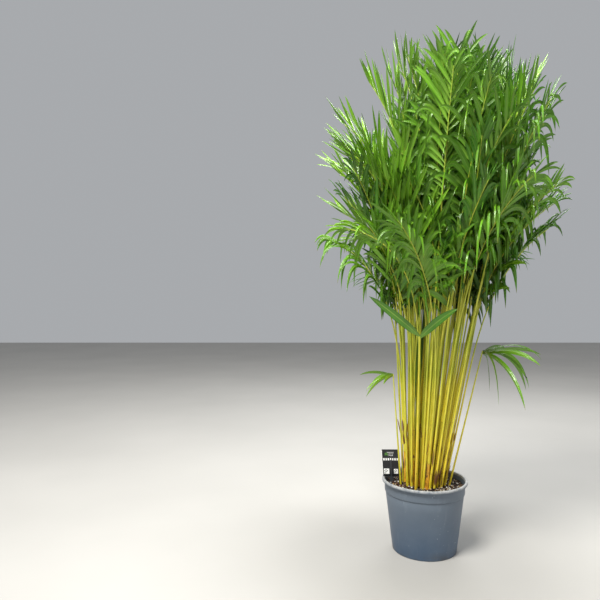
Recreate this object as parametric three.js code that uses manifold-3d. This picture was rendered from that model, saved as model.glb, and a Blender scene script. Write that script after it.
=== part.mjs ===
// Potted areca palm: a plastic nursery pot of soil with a clump of young canes in it. Each cane carries two
// feather fronds. Three seedlings with a simple leaf stand at the clump's edge, and so does a printed plant label.
// Millimetres, +Z up. The origin is on the floor, at the centre of the pot's base. -Y is the front.
import * as THREE from "three";
import { mergeVertices } from "three/addons/utils/BufferGeometryUtils.js";
import Module from "manifold-3d";

// Pot: a tapered tub with a rolled rim, a stacking band under it and a raised drainage channel in its base.
const POT_HEIGHT = 210;
const RIM_RADIUS = 125;
const RIM_HEIGHT = 9;
const BAND_RADIUS = 117.6;
const BAND_HEIGHT = 28;
const BODY_RADIUS = 114.6;
const FOOT_RADIUS = 94;
const WALL = 2;
const CHANNEL_INNER = 70;
const CHANNEL_OUTER = 86;
const CHANNEL_RISE = 4;
const DRAIN_HOLES = 8;
const DRAIN_RADIUS = 5;
const POT_SEGMENTS = 40;

// Soil: fills the pot to a little under the rim, slightly heaped round the clump.
const SOIL_EDGE = 192;
const SOIL_HEAP = 6;
const GAP = 0.4;

// Clump: canes stand in a sunflower pattern and spread like a fan, leaning towards +X.
const CANES = 18;
const CLUMP_RADIUS = 55;
const GOLDEN_ANGLE = Math.PI * (3 - Math.sqrt(5));
const PLANT_DEPTH = 34;
const FAN = 0.00215;
const LEAN = 0.08;
const CANE_LOW = 150;
const CANE_RANGE = 170;
const CANE_RADIUS = 5.2;
const CANE_SWELL = 1.4;
const CANE_STEPS = 4;

// Fronds: two on each cane, an outer one that arches and an inner one that stays more upright.
const FRONDS_PER_CANE = 2;
const FROND_LENGTH = 910;
const FROND_STEPS = 9;
const UPRIGHT_ZENITH = 10;
const SPREADING_ZENITH = 36;
const OUTER_FROND_SPREAD = 22;
const PETIOLE_RADIUS = 3;
const TIP_RADIUS = 1.1;

// Leaflets: in pairs along the upper part of a frond, long and wide-set low down, short and close at the tip.
const BLADE_START = 0.45;
const BLADE_END = 0.985;
const LEAFLET_PAIRS = 7;
const LEAFLET_LENGTH = 235;
const LEAFLET_WIDTH = 18;
const LEAFLET_THICKNESS = 2.4;
const LEAFLET_WAIST = 0.38;
const LEAFLET_ARCH = 0.035;
const LEAFLET_ANGLE_LOW = 52;
const LEAFLET_ANGLE_TIP = 20;
const LEAFLET_ROOT = 0.4;

// Seedlings: a bare stalk from the soil at the clump's edge, with a small fan of leaflets at its top.
const SEEDLING_CIRCLE = 72;
const SEEDLING_RADIUS = 3;
const SEEDLINGS = [
  { name: "front", angle: -122, height: 450, blades: 2, open: 96, tilt: 6, size: 0.85, width: 30 },
  { name: "right", angle: -12, height: 400, blades: 5, open: 150, tilt: 60, size: 0.9, width: 17 },
  { name: "left", angle: 186, height: 330, blades: 4, open: 120, tilt: 74, size: 0.6, width: 13 },
];

// Label: a thin printed tag on a pointed stake.
const LABEL_WIDTH = 50;
const LABEL_HEIGHT = 80;
const LABEL_THICKNESS = 1;
const LABEL_CORNER = 4;
const LABEL_TILT = -3;
const LABEL_TURN = -12;
const STAKE_WIDTH = 12;
const STAKE_LENGTH = 66;
const STAKE_DEPTH = 46;
const LABEL_PLACE = new THREE.Vector3(-93, 12, SOIL_EDGE - STAKE_DEPTH);

const UP = new THREE.Vector3(0, 0, 1);
const FLOOR = new THREE.Vector3();
const wasm = await Module();
wasm.setup();

const mix = THREE.MathUtils.lerp;
const radians = THREE.MathUtils.degToRad;
const compass = (angle) => new THREE.Vector3(Math.cos(angle), Math.sin(angle), 0);
const numbered = (word, index) => `${word}_${String(index + 1).padStart(2, "0")}`;

// A number from 0 to 1 that differs from piece to piece but is the same in every run.
const vary = (index, stream) => (index * 0.6180339887 + stream * 0.7548776662) % 1;

// Materials: one for each piece. No two canes or fronds have quite the same colour.
function material(color, roughness) {
  return new THREE.MeshStandardMaterial({ color, roughness, metalness: 0 });
}

function between(from, to, share, roughness) {
  return material(new THREE.Color(from).lerp(new THREE.Color(to), share), roughness);
}

const potPlastic = () => material(0x59636e, 0.55);
const peat = () => material(0x2b1d14, 0.95);
const labelPlastic = () => material(0x14161a, 0.35);
const caneSkin = (index) => between(0xd9b02a, 0xa3a822, vary(index, 8), 0.45);
const leafSkin = (index) => between(0x2f6b1c, 0x6ba02c, vary(index, 9), 0.4);

// Closed geometry to a solid that can be joined and cut.
function solidOf(geometry) {
  const bare = geometry.index ? geometry.toNonIndexed() : geometry.clone();
  bare.deleteAttribute("normal");
  bare.deleteAttribute("uv");
  const merged = mergeVertices(bare, 1e-4);
  return new wasm.Manifold(
    new wasm.Mesh({
      numProp: 3,
      vertProperties: merged.attributes.position.array,
      triVerts: new Uint32Array(merged.index.array),
    }),
  );
}

// Several solids as one, without the slivers that joining can leave.
const SLIVER = 0.02;
function joined(solids) {
  return wasm.Manifold.union(solids).simplify(SLIVER);
}

// A solid to a named mesh whose own origin is at the given point of the plant.
function meshOf(name, solid, skin, origin) {
  const { vertProperties, triVerts } = solid.getMesh();
  const geometry = new THREE.BufferGeometry();
  geometry.setAttribute("position", new THREE.BufferAttribute(vertProperties, 3));
  geometry.setIndex(new THREE.BufferAttribute(triVerts, 1));
  geometry.translate(-origin.x, -origin.y, -origin.z);
  geometry.computeVertexNormals();
  const mesh = new THREE.Mesh(geometry, skin);
  mesh.name = name;
  mesh.position.copy(origin);
  return mesh;
}

// A turned solid about +Z, from a profile of [radius, height] points that runs from the axis back to the axis.
function turned(profile) {
  const points = profile.map(([radius, height]) => new THREE.Vector2(radius, height));
  return solidOf(new THREE.LatheGeometry(points, POT_SEGMENTS).rotateX(Math.PI / 2));
}

// A rod that follows a path and changes radius along it: a straight cylinder, bent. Its rings turn as little
// as they can from one point of the path to the next.
function bentRod(path, radiusAt, sides) {
  const steps = path.length - 1;
  const rod = new THREE.CylinderGeometry(1, 1, 1, sides, steps);
  let across = new THREE.Vector3(1, 0, 0);
  const rings = path.map((point, step) => {
    const along = path[Math.min(step + 1, steps)].clone().sub(path[Math.max(step - 1, 0)]).normalize();
    across = across.clone().projectOnPlane(along).normalize();
    return { point, across, front: along.clone().cross(across), radius: radiusAt(step / steps) };
  });
  const position = rod.attributes.position;
  for (let i = 0; i < position.count; i++) {
    const ring = rings[Math.round((position.getY(i) + 0.5) * steps)];
    const bent = ring.point
      .clone()
      .addScaledVector(ring.across, position.getZ(i) * ring.radius)
      .addScaledVector(ring.front, position.getX(i) * ring.radius);
    position.setXYZ(i, bent.x, bent.y, bent.z);
  }
  return rod;
}

function makePot() {
  const bandTop = POT_HEIGHT - RIM_HEIGHT;
  const bandFoot = bandTop - BAND_HEIGHT;
  const innerFloor = WALL + CHANNEL_RISE;
  const outside = [
    [0, 0],
    [CHANNEL_INNER, 0],
    [CHANNEL_INNER + 2, CHANNEL_RISE],
    [CHANNEL_OUTER - 2, CHANNEL_RISE],
    [CHANNEL_OUTER, 0],
    [FOOT_RADIUS - 2, 0],
    [FOOT_RADIUS, 3],
    [BODY_RADIUS, bandFoot - 2],
    [BAND_RADIUS - 1.4, bandFoot],
    [BAND_RADIUS, bandTop],
    [RIM_RADIUS - 1.5, bandTop],
    [RIM_RADIUS, bandTop + 2],
    [RIM_RADIUS, POT_HEIGHT - 3],
    [RIM_RADIUS - 2.5, POT_HEIGHT],
    [BAND_RADIUS + 1, POT_HEIGHT],
  ];
  const inside = [
    [BAND_RADIUS - WALL, bandTop],
    [BODY_RADIUS - WALL, bandFoot - 2],
    [FOOT_RADIUS - WALL, innerFloor],
    [0, innerFloor],
  ];
  const ring = (CHANNEL_INNER + CHANNEL_OUTER) / 2;
  const drills = Array.from({ length: DRAIN_HOLES }, (_, hole) => {
    const place = compass(((hole + 0.5) * 2 * Math.PI) / DRAIN_HOLES).multiplyScalar(ring);
    const drill = new THREE.CylinderGeometry(DRAIN_RADIUS, DRAIN_RADIUS, 4 * innerFloor, 12);
    return solidOf(drill.rotateX(Math.PI / 2).translate(place.x, place.y, 0));
  });
  return drills.reduce((pot, drill) => pot.subtract(drill), turned([...outside, ...inside]));
}

// The pot's fill, with a pocket for everything that is pushed into it.
function makeSoil(pockets) {
  const bandFoot = POT_HEIGHT - RIM_HEIGHT - BAND_HEIGHT;
  const under = WALL + CHANNEL_RISE + GAP;
  const edge = mix(BODY_RADIUS, BAND_RADIUS, (SOIL_EDGE - bandFoot) / BAND_HEIGHT) - WALL - GAP;
  const fill = turned([
    [0, under],
    [FOOT_RADIUS - WALL - GAP, under],
    [BODY_RADIUS - WALL - GAP, bandFoot - 2],
    [edge, SOIL_EDGE],
    [CLUMP_RADIUS * 1.4, SOIL_EDGE + SOIL_HEAP * 0.6],
    [0, SOIL_EDGE + SOIL_HEAP],
  ]);
  return pockets.reduce((soil, pocket) => soil.subtract(pocket), fill);
}

// The label in its own frame, standing on the point of its stake.
function makeLabel() {
  const top = STAKE_LENGTH + LABEL_HEIGHT;
  const half = LABEL_WIDTH / 2;
  const stake = STAKE_WIDTH / 2;
  const shape = new THREE.Shape();
  shape.moveTo(0, 0);
  shape.lineTo(stake, STAKE_LENGTH * 0.3);
  shape.lineTo(stake, STAKE_LENGTH);
  shape.lineTo(half, STAKE_LENGTH);
  shape.lineTo(half, top - LABEL_CORNER);
  shape.quadraticCurveTo(half, top, half - LABEL_CORNER, top);
  shape.lineTo(LABEL_CORNER - half, top);
  shape.quadraticCurveTo(-half, top, -half, top - LABEL_CORNER);
  shape.lineTo(-half, STAKE_LENGTH);
  shape.lineTo(-stake, STAKE_LENGTH);
  shape.lineTo(-stake, STAKE_LENGTH * 0.3);
  const settings = { depth: LABEL_THICKNESS, bevelEnabled: false, curveSegments: 4 };
  return new THREE.ExtrudeGeometry(shape, settings).rotateX(Math.PI / 2);
}

function inLabelPlace(geometry) {
  geometry.rotateY(radians(LABEL_TILT)).rotateZ(radians(LABEL_TURN));
  return solidOf(geometry.translate(LABEL_PLACE.x, LABEL_PLACE.y, LABEL_PLACE.z));
}

// Where a cane stands: its foot in the soil, its share of the clump's radius, and its height and stoutness.
function canePlan(_, index) {
  const share = Math.sqrt((index + 0.5) / CANES);
  const angle = index * GOLDEN_ANGLE;
  return {
    index,
    share,
    angle,
    foot: compass(angle).multiplyScalar(CLUMP_RADIUS * share),
    height: CANE_LOW + CANE_RANGE * vary(index, 1),
    radius: CANE_RADIUS * mix(0.88, 1.16, vary(index, 2)),
  };
}

// A point of a cane's axis, at a height above the soil: the whole pattern grows with height, so canes never cross.
function caneAxis({ foot }, height) {
  const spread = 1 + FAN * height;
  return new THREE.Vector3(foot.x * spread + LEAN * height, foot.y * spread, SOIL_EDGE + height);
}

function makeCane(plan, extra = 0) {
  const path = Array.from({ length: CANE_STEPS + 1 }, (_, step) =>
    caneAxis(plan, mix(-PLANT_DEPTH - extra, plan.height, step / CANE_STEPS)),
  );
  const radiusAt = (share) => plan.radius * mix(CANE_SWELL, 1, Math.min(1, share * 1.6)) + extra;
  return solidOf(bentRod(path, radiusAt, 8));
}

// One frond of a cane: which side of the cane it leaves, which way it points, how long it is, and how far its tip
// bends over from upright. Rank 0 is the cane's outer frond.
function frondPlan(cane, rank) {
  const index = cane.index * FRONDS_PER_CANE + rank;
  const isOuter = rank === 0;
  const edge = cane.share * cane.share;
  const turn = mix(20, 42, vary(index, 3)) * (isOuter ? -1 : 1);
  const zenith = mix(UPRIGHT_ZENITH, SPREADING_ZENITH, edge) + (isOuter ? OUTER_FROND_SPREAD * edge : 0);
  return {
    cane,
    index,
    seat: cane.angle + rank * Math.PI,
    azimuth: cane.angle + radians(turn),
    length: FROND_LENGTH * mix(1.03, 0.83, edge) * (isOuter ? 0.86 : 1) * mix(0.94, 1.04, vary(index, 4)),
    zenith: radians(zenith + 10 * vary(index, 5)),
    bend: mix(1.5, 2.1, vary(index, 6)),
    size: mix(0.9, 1.08, vary(index, 7)),
  };
}

// Points and directions along a frond. It starts on the cane's top, in line with it, and bends over from there.
function frondSpine({ cane, seat, azimuth, length, zenith, bend }) {
  const top = caneAxis(cane, cane.height);
  const start = top.clone().sub(caneAxis(cane, 0)).normalize();
  const outward = compass(azimuth);
  const end = outward.clone().multiplyScalar(Math.sin(zenith)).addScaledVector(UP, Math.cos(zenith));
  const across = UP.clone().cross(outward);
  const beside = compass(seat).projectOnPlane(start).normalize();
  let point = top.clone().addScaledVector(beside, PETIOLE_RADIUS + GAP).addScaledVector(start, GAP);
  return Array.from({ length: FROND_STEPS + 1 }, (_, step) => {
    const along = start.clone().lerp(end, Math.pow(step / FROND_STEPS, bend)).normalize();
    const face = along.clone().cross(across).normalize();
    const station = { point, along, face, side: face.clone().cross(along) };
    point = point.clone().addScaledVector(along, length / FROND_STEPS);
    return station;
  });
}

// The point and directions at any share of the frond's length.
function stationAt(spine, share) {
  const place = share * FROND_STEPS;
  const low = Math.min(Math.floor(place), FROND_STEPS - 1);
  const blend = (key) => spine[low][key].clone().lerp(spine[low + 1][key], place - low);
  return { point: blend("point"), along: blend("along"), face: blend("face"), side: blend("side") };
}

// One leaflet: a long flat diamond, widest below its middle and arched upwards, with its root at the point.
function makeBlade(point, along, across, length, width) {
  const flat = along.clone().cross(across).normalize();
  const arch = flat.z < 0 ? -1 : 1;
  const frame = new THREE.Matrix4().makeBasis(flat.clone().cross(along), flat, along).setPosition(point);
  const blade = new THREE.OctahedronGeometry(0.5).scale(width, LEAFLET_THICKNESS, length);
  const position = blade.attributes.position;
  for (let i = 0; i < position.count; i++) {
    const isWaist = Math.abs(position.getZ(i)) < length / 4;
    position.setZ(i, isWaist ? LEAFLET_WAIST * length : position.getZ(i) + length / 2 - LEAFLET_ROOT);
    if (isWaist) position.setY(i, position.getY(i) + arch * LEAFLET_ARCH * length);
  }
  return blade.applyMatrix4(frame);
}

// A frond's leaflet at a share of its feathered part. lift raises it out of the frond's own plane.
function makeLeaflet(station, hand, share, size, lift) {
  const length = LEAFLET_LENGTH * size * (1 - 0.5 * share * share) * mix(0.75, 1, Math.min(1, share * 4));
  const angle = radians(mix(LEAFLET_ANGLE_LOW, LEAFLET_ANGLE_TIP, share));
  const outward = station.side.clone().multiplyScalar(hand * Math.cos(lift));
  outward.addScaledVector(station.face, Math.sin(lift));
  const along = station.along.clone().multiplyScalar(Math.cos(angle)).addScaledVector(outward, Math.sin(angle));
  return makeBlade(station.point, along.normalize(), station.along, length, LEAFLET_WIDTH);
}

// Keeps what has been made so far, so that each new leaflet can be kept clear of it.
const made = [];
function keep(name, solid) {
  const { min, max } = solid.boundingBox();
  const box = new THREE.Box3(new THREE.Vector3(...min), new THREE.Vector3(...max));
  made.push({ name, solid, box });
}

function isClear(name, solid) {
  const { min, max } = solid.boundingBox();
  const box = new THREE.Box3(new THREE.Vector3(...min), new THREE.Vector3(...max));
  const touching = made.filter((other) => other.name !== name && box.intersectsBox(other.box));
  return touching.every((other) => solid.intersect(other.solid).isEmpty());
}

// A leaflet pushes past its neighbours: it takes the first lift that leaves it clear, or isn't there.
const LIFTS = [30, 18, 42, 6, 54, -6, 66].map(radians);
function settle(name, bladeAt) {
  for (const lift of LIFTS) {
    const solid = solidOf(bladeAt(lift));
    if (isClear(name, solid)) {
      keep(name, solid);
      return [solid];
    }
  }
  return [];
}

// The leaflets of one frond, in pairs from the bottom of the feathered part to the tip.
function frondLeaflets({ name, plan, spine }) {
  const leaflets = [];
  for (let pair = 0; pair < LEAFLET_PAIRS; pair++) {
    const share = pair / (LEAFLET_PAIRS - 1);
    const station = stationAt(spine, mix(BLADE_START, BLADE_END, share));
    for (const hand of [-1, 1]) {
      leaflets.push(...settle(name, (lift) => makeLeaflet(station, hand, share, plan.size, lift)));
    }
  }
  return leaflets;
}

// A seedling's stalk follows the clump's own fan.
function seedlingPath({ angle, height }) {
  const plan = { foot: compass(radians(angle)).multiplyScalar(SEEDLING_CIRCLE) };
  return [-PLANT_DEPTH, 0, 0.35 * height, 0.7 * height, height].map((up) => caneAxis(plan, up));
}

// A seedling's leaflets open like the fingers of a hand, from just under the stalk's end.
function seedlingLeaflets({ name, seedling, path }) {
  const hub = path.at(-1).clone().lerp(path.at(-2), 0.02);
  const outward = compass(radians(seedling.angle));
  const side = UP.clone().cross(outward);
  return Array.from({ length: seedling.blades }, (_, blade) => {
    const turn = radians(seedling.open * (blade / (seedling.blades - 1) - 0.5));
    return settle(name, (lift) => {
      const lean = radians(seedling.tilt) + lift / 2;
      const middle = outward.clone().multiplyScalar(Math.sin(lean)).addScaledVector(UP, Math.cos(lean));
      const along = middle.multiplyScalar(Math.cos(turn)).addScaledVector(side, Math.sin(turn)).normalize();
      const across = outward.clone().projectOnPlane(along).cross(along);
      return makeBlade(hub, along, across, LEAFLET_LENGTH * seedling.size, seedling.width);
    });
  }).flat();
}

// First the stems of everything, which are kept clear of each other by the plan, and then the leaflets.
const label = inLabelPlace(makeLabel());
keep("plant_label", label);

const canes = Array.from({ length: CANES }, canePlan).map((plan) => {
  const name = numbered("cane", plan.index);
  const solid = makeCane(plan);
  keep(name, solid);
  return { name, plan, solid };
});

const fronds = canes.flatMap((cane) =>
  Array.from({ length: FRONDS_PER_CANE }, (_, rank) => {
    const plan = frondPlan(cane.plan, rank);
    const name = numbered("frond", plan.index);
    const spine = frondSpine(plan);
    const path = spine.map((station) => station.point);
    const midrib = solidOf(bentRod(path, (share) => mix(PETIOLE_RADIUS, TIP_RADIUS, share), 5));
    keep(name, midrib);
    return { name, plan, spine, midrib };
  }),
);

const seedlings = SEEDLINGS.map((seedling, index) => {
  const name = `seedling_${seedling.name}`;
  const path = seedlingPath(seedling);
  const stalk = solidOf(bentRod(path, (share) => SEEDLING_RADIUS * mix(1, 0.7, share), 6));
  keep(name, stalk);
  return { name, index, seedling, path, stalk };
});

// The pot with what stands in it.
const pockets = [
  inLabelPlace(
    new THREE.BoxGeometry(STAKE_WIDTH + 2, LABEL_THICKNESS + 2, 2 * STAKE_LENGTH).translate(
      0,
      -LABEL_THICKNESS / 2,
      STAKE_LENGTH - 4,
    ),
  ),
  ...canes.map(({ plan }) => makeCane(plan, GAP)),
  ...seedlings.map(({ path }) => solidOf(bentRod(path.slice(0, 3), () => SEEDLING_RADIUS + GAP, 6))),
];
const root = new THREE.Group();
root.add(meshOf("pot", makePot(), potPlastic(), FLOOR));
root.add(meshOf("potting_soil", makeSoil(pockets), peat(), FLOOR));

const tag = new THREE.Mesh(makeLabel(), labelPlastic());
tag.name = "plant_label";
tag.position.copy(LABEL_PLACE);
tag.rotation.set(0, radians(LABEL_TILT), radians(LABEL_TURN), "ZYX");
root.add(tag);

// Each seedling and each cane with its fronds is a group of its own, whose origin is where it leaves the soil.
for (const part of seedlings) {
  const solid = joined([part.stalk, ...seedlingLeaflets(part)]);
  root.add(meshOf(part.name, solid, leafSkin(part.index), part.path[1]));
}
for (const cane of canes) {
  const plant = new THREE.Group();
  const foot = caneAxis(cane.plan, 0);
  plant.position.copy(foot);
  plant.add(meshOf(cane.name, cane.solid, caneSkin(cane.plan.index), foot));
  for (const frond of fronds.filter(({ plan }) => plan.cane === cane.plan)) {
    const solid = joined([frond.midrib, ...frondLeaflets(frond)]);
    plant.add(meshOf(frond.name, solid, leafSkin(frond.plan.index), frond.spine[0].point));
  }
  for (const mesh of plant.children) mesh.position.sub(foot);
  root.add(plant);
}

export default root;
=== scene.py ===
"""Potted areca palm: a nursery pot of soil with a clump of golden canes under arching feather fronds.

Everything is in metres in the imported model's own frame: +Z up, the origin under the middle of the pot. The front
is -Y.
"""

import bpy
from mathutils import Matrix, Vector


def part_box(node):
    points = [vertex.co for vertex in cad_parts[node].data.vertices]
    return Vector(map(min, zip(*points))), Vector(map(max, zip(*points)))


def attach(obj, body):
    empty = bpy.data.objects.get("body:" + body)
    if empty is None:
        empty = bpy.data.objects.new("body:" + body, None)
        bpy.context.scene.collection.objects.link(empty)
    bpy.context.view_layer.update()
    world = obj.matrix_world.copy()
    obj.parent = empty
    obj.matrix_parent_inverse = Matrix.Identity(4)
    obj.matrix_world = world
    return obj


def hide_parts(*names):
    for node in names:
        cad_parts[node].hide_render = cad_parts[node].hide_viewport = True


bl_info = {
    "name": "Potted areca palm",
    "version": (1, 0, 0),
    "blender": (4, 5, 0),
    "location": "View3D > Sidebar > Palm",
    "description": "Builds a potted areca palm around its packed frame",
    "category": "Object",
}

import math
import random
from types import SimpleNamespace

import bmesh
import bpy
from bpy.props import FloatProperty, FloatVectorProperty, IntProperty, PointerProperty
from mathutils import Matrix, Vector, noise

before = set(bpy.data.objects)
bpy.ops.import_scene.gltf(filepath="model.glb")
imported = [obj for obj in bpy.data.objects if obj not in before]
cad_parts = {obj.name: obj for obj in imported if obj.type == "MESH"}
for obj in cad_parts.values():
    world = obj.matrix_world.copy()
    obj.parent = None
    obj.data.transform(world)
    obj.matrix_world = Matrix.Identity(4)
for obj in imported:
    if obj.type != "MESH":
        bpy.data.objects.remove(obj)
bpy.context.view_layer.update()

UP = Vector((0.0, 0.0, 1.0))
DOWN = (0.0, 0.0, -1.0)
GOLDEN_ANGLE = math.pi * (3 - math.sqrt(5))

# The clump's plan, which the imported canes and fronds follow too. Angles are in degrees.
CANES = 18
CLUMP_RADIUS = 0.055
PLANT_DEPTH = 0.034
FAN = 2.15
LEAN = 0.08
CANE_LOW = 0.150
CANE_RANGE = 0.170
CANE_RADIUS = 0.0052
FROND_LENGTH = 0.910
UPRIGHT_ZENITH = 10
SPREADING_ZENITH = 36
OUTER_FROND_SPREAD = 22
PETIOLE_RADIUS = 0.003
GAP = 0.0004
SEEDLING_CIRCLE = 0.072
SOIL_EDGE = 0.192

# The finished plant's own plan. A pair is the value for the sides and back, then the one for the front.
FRONT_CANE = 15
SHEATH_DEPTH = 0.075
BARE_SHARE = (0.45, 0.6)
BARE_HEIGHT = (0.70, 0.80)
LATEST_LEAFLETS = 0.72
STEM_RADIUS = 0.0036
STEM_CIRCLE = CLUMP_RADIUS * 1.16
STEM_TO_CANE = 0.0112
STEM_TO_STEM = 0.0086
CROWN_X = (-0.248, 0.352)
CROWN_Y = (-0.262, 0.252)
CROWN_TOP = 1.43
# The middle of the crown, seen from above, round which the leaflets get painted shade.
CROWN_MIDDLE = (0.06, 0.0, 0.0)

# Each seedling's direction and height, then its blades: how many, how wide they open and lean, size, width and sag.
SEEDLINGS = {
    "front": (-122, 0.450, 2, 92, 2, 0.95, 0.0235, 0.25),
    "right": (-12, 0.400, 9, 150, 58, 1.14, 0.0145, 1.0),
    "left": (186, 0.330, 5, 120, 66, 0.6, 0.011, 0.7),
}
LEAF_LAYERS = ("leaf_across", "leaf_along", "leaf_face", "leaf_own", "leaf_tone")


# ---- small helpers


def mix(a, b, share):
    """The value a given share of the way from a to b."""
    return a + (b - a) * share


def vary(index, stream):
    """A number from 0 to 1 that differs from piece to piece but is the same in every run."""
    return (index * 0.6180339887 + stream * 0.7548776662) % 1


def compass(angle):
    """The level direction at an angle round +Z."""
    return Vector((math.cos(angle), math.sin(angle), 0.0))


def paint(color):
    """A web colour such as 59636e, or a colour setting, as the linear colour that a shader takes."""
    if not isinstance(color, str):
        return (*color, 1.0)
    parts = [int(color[i : i + 2], 16) / 255 for i in (0, 2, 4)]
    linear = [c / 12.92 if c <= 0.04045 else ((c + 0.055) / 1.055) ** 2.4 for c in parts]
    return (*linear, 1.0)


def new_object(name, data):
    """Puts a mesh, a lamp or a camera into the scene at the origin."""
    piece = bpy.data.objects.new(name, data)
    bpy.context.scene.collection.objects.link(piece)
    return piece


def finish_piece(piece, slot, *replaced):
    """Hands a finished piece to the frame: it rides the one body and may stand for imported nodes."""
    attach(piece, "root")
    if replaced:
        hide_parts(*replaced)


def smooth(mesh, angle):
    """Shades a mesh smooth, apart from edges sharper than the angle."""
    mesh.shade_smooth()
    mesh.set_sharp_from_angle(angle=math.radians(angle))


def mesh_from(shape, name):
    """Turns an edited shape into a mesh, and lets the shape go."""
    mesh = bpy.data.meshes.new(name)
    shape.to_mesh(mesh)
    shape.free()
    return mesh


def ring_of(shape, radius, height, count):
    """A level ring of points round +Z."""
    return [shape.verts.new((*(compass(2 * math.pi * k / count) * radius)[:2], height)) for k in range(count)]


def turned_mesh(name, profile, segments=144):
    """A closed mesh turned about +Z from a profile of (radius, height) points that starts and ends on the axis."""
    shape = bmesh.new()
    rings = [
        ring_of(shape, radius, height, segments) if radius else [shape.verts.new((0, 0, height))]
        for radius, height in profile
    ]
    for low, high in zip(rings, rings[1:]):
        for k in range(segments):
            after = (k + 1) % segments
            if len(low) == 1:
                shape.faces.new((low[0], high[after], high[k]))
            elif len(high) == 1:
                shape.faces.new((low[k], low[after], high[0]))
            else:
                shape.faces.new((low[k], low[after], high[after], high[k]))
    bmesh.ops.recalc_face_normals(shape, faces=shape.faces)
    return mesh_from(shape, name)


# ---- node graphs


def is_vector(value):
    return isinstance(value, tuple) or isinstance(value, Wire) and value.socket.type == "VECTOR"


class Wire:
    """A node's output that can stand in a sum. A vector is multiplied by a number on its right."""

    def __init__(self, graph, socket):
        self.graph = graph
        self.socket = socket

    def __add__(self, other):
        return self.graph.sum("ADD", self, other)

    def __sub__(self, other):
        return self.graph.sum("SUBTRACT", self, other)

    def __rsub__(self, other):
        return self.graph.sum("SUBTRACT", other, self)

    def __mul__(self, other):
        return self.graph.sum("MULTIPLY", self, other)

    def __truediv__(self, other):
        return self.graph.sum("DIVIDE", self, other)

    __radd__ = __add__


class Graph:
    """Adds nodes to a node tree. An input takes a plain value or a wire."""

    def __init__(self, tree):
        self.tree = tree

    def node(self, kind, inputs=None, **settings):
        made = self.tree.nodes.new(kind)
        for name, value in settings.items():
            setattr(made, name, value)
        for key, value in (inputs or {}).items():
            self.feed(made.inputs[key], value)
        return made

    def feed(self, socket, value):
        if isinstance(value, Wire):
            self.tree.links.new(value.socket, socket)
        else:
            socket.default_value = value

    def add(self, kind, inputs=None, output=0, **settings):
        """Adds a node and gives one of its outputs."""
        return Wire(self, self.node(kind, inputs, **settings).outputs[output])

    def outputs(self, kind, inputs=None, **settings):
        """Adds a node and gives all its outputs."""
        return [Wire(self, socket) for socket in self.node(kind, inputs, **settings).outputs]

    def sum(self, operation, a, b):
        """Works on numbers or on vectors, whichever the two sides are."""
        if not is_vector(a) and not is_vector(b):
            return self.math(operation, a, b)
        if operation == "MULTIPLY" and not is_vector(b):
            return self.scaled(a, b)
        return self.vector(operation, a, b)

    def math(self, operation, a, b=0.0, clamp=False):
        return self.add("ShaderNodeMath", {0: a, 1: b}, operation=operation, use_clamp=clamp)

    def vector(self, operation, a, b=(0.0, 0.0, 0.0)):
        output = "Value" if operation in ("DOT_PRODUCT", "LENGTH") else "Vector"
        return self.add("ShaderNodeVectorMath", {0: a, 1: b}, output, operation=operation)

    def scaled(self, a, factor):
        return self.add("ShaderNodeVectorMath", {0: a, "Scale": factor}, operation="SCALE")

    def lerp(self, factor, a, b):
        return self.add("ShaderNodeMix", {0: factor, 2: a, 3: b}, data_type="FLOAT")

    def ramp(self, factor, low, high, first=0.0, last=1.0):
        """Turns low to high into first to last, held level outside."""
        return self.add("ShaderNodeMapRange", {0: factor, 1: low, 2: high, 3: first, 4: last}, clamp=True)

    def curve(self, factor, points):
        made = self.node("ShaderNodeFloatCurve", {"Value": factor})
        line = made.mapping.curves[0]
        line.points[0].location = points[0]
        line.points[1].location = points[-1]
        for place in points[1:-1]:
            line.points.new(*place)
        made.mapping.update()
        return Wire(self, made.outputs[0])


class Shader(Graph):
    """A material's graph. Its colour is built up in layers, each with the share that it covers."""

    def __init__(self, name):
        self.material = bpy.data.materials.new(name)
        self.material.use_nodes = True
        super().__init__(self.material.node_tree)
        self.surface = self.tree.nodes["Principled BSDF"]
        self.place = self.add("ShaderNodeTexCoord", output="Object")
        self.height = self.add("ShaderNodeSeparateXYZ", {0: self.place}, 2)

    def blend(self, share, a, b):
        ends = [color if isinstance(color, Wire) else paint(color) for color in (a, b)]
        return self.add("ShaderNodeMix", {0: share, 6: ends[0], 7: ends[1]}, 2, data_type="RGBA")

    def base(self, share, first, second):
        """Starts the colour as a mixture of two."""
        self.color = self.blend(share, first, second)

    def over(self, share, color):
        """Lays a colour over what is there."""
        self.color = self.blend(share, self.color, color)

    def attribute(self, name):
        return self.add("ShaderNodeAttribute", output="Fac", attribute_name=name)

    def stretched(self, *scale):
        return self.add("ShaderNodeMapping", {"Vector": self.place, "Scale": scale})

    def noise(self, scale, detail=3.0, rough=0.5, place=None):
        settings = {"Vector": place or self.place, "Scale": scale, "Detail": detail, "Roughness": rough}
        return self.add("ShaderNodeTexNoise", settings)

    def threads(self, across, along, rough=0.6):
        """Noise drawn out upwards."""
        return self.noise(1.0, 4.0, rough, self.stretched(across, across, along))

    def cells(self, scale, output="Distance", place=None):
        return self.add("ShaderNodeTexVoronoi", {"Vector": place or self.place, "Scale": scale}, output)

    def flecks(self, scale, squash):
        """Small long spots, one in each cell."""
        return self.ramp(self.cells(scale, place=self.stretched(1.0, 1.0, squash)), 0.1, 0.24, 1.0, 0.0)

    def finish(self, rough, bump=None, distance=0.0, strength=0.0):
        """Sets the surface, with its bumps if there are any, and gives the material."""
        self.feed(self.surface.inputs["Base Color"], self.color)
        self.feed(self.surface.inputs["Roughness"], rough)
        if bump:
            inputs = {"Height": bump, "Distance": distance, "Strength": strength}
            self.feed(self.surface.inputs["Normal"], self.add("ShaderNodeBump", inputs))
        return self.material


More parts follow.
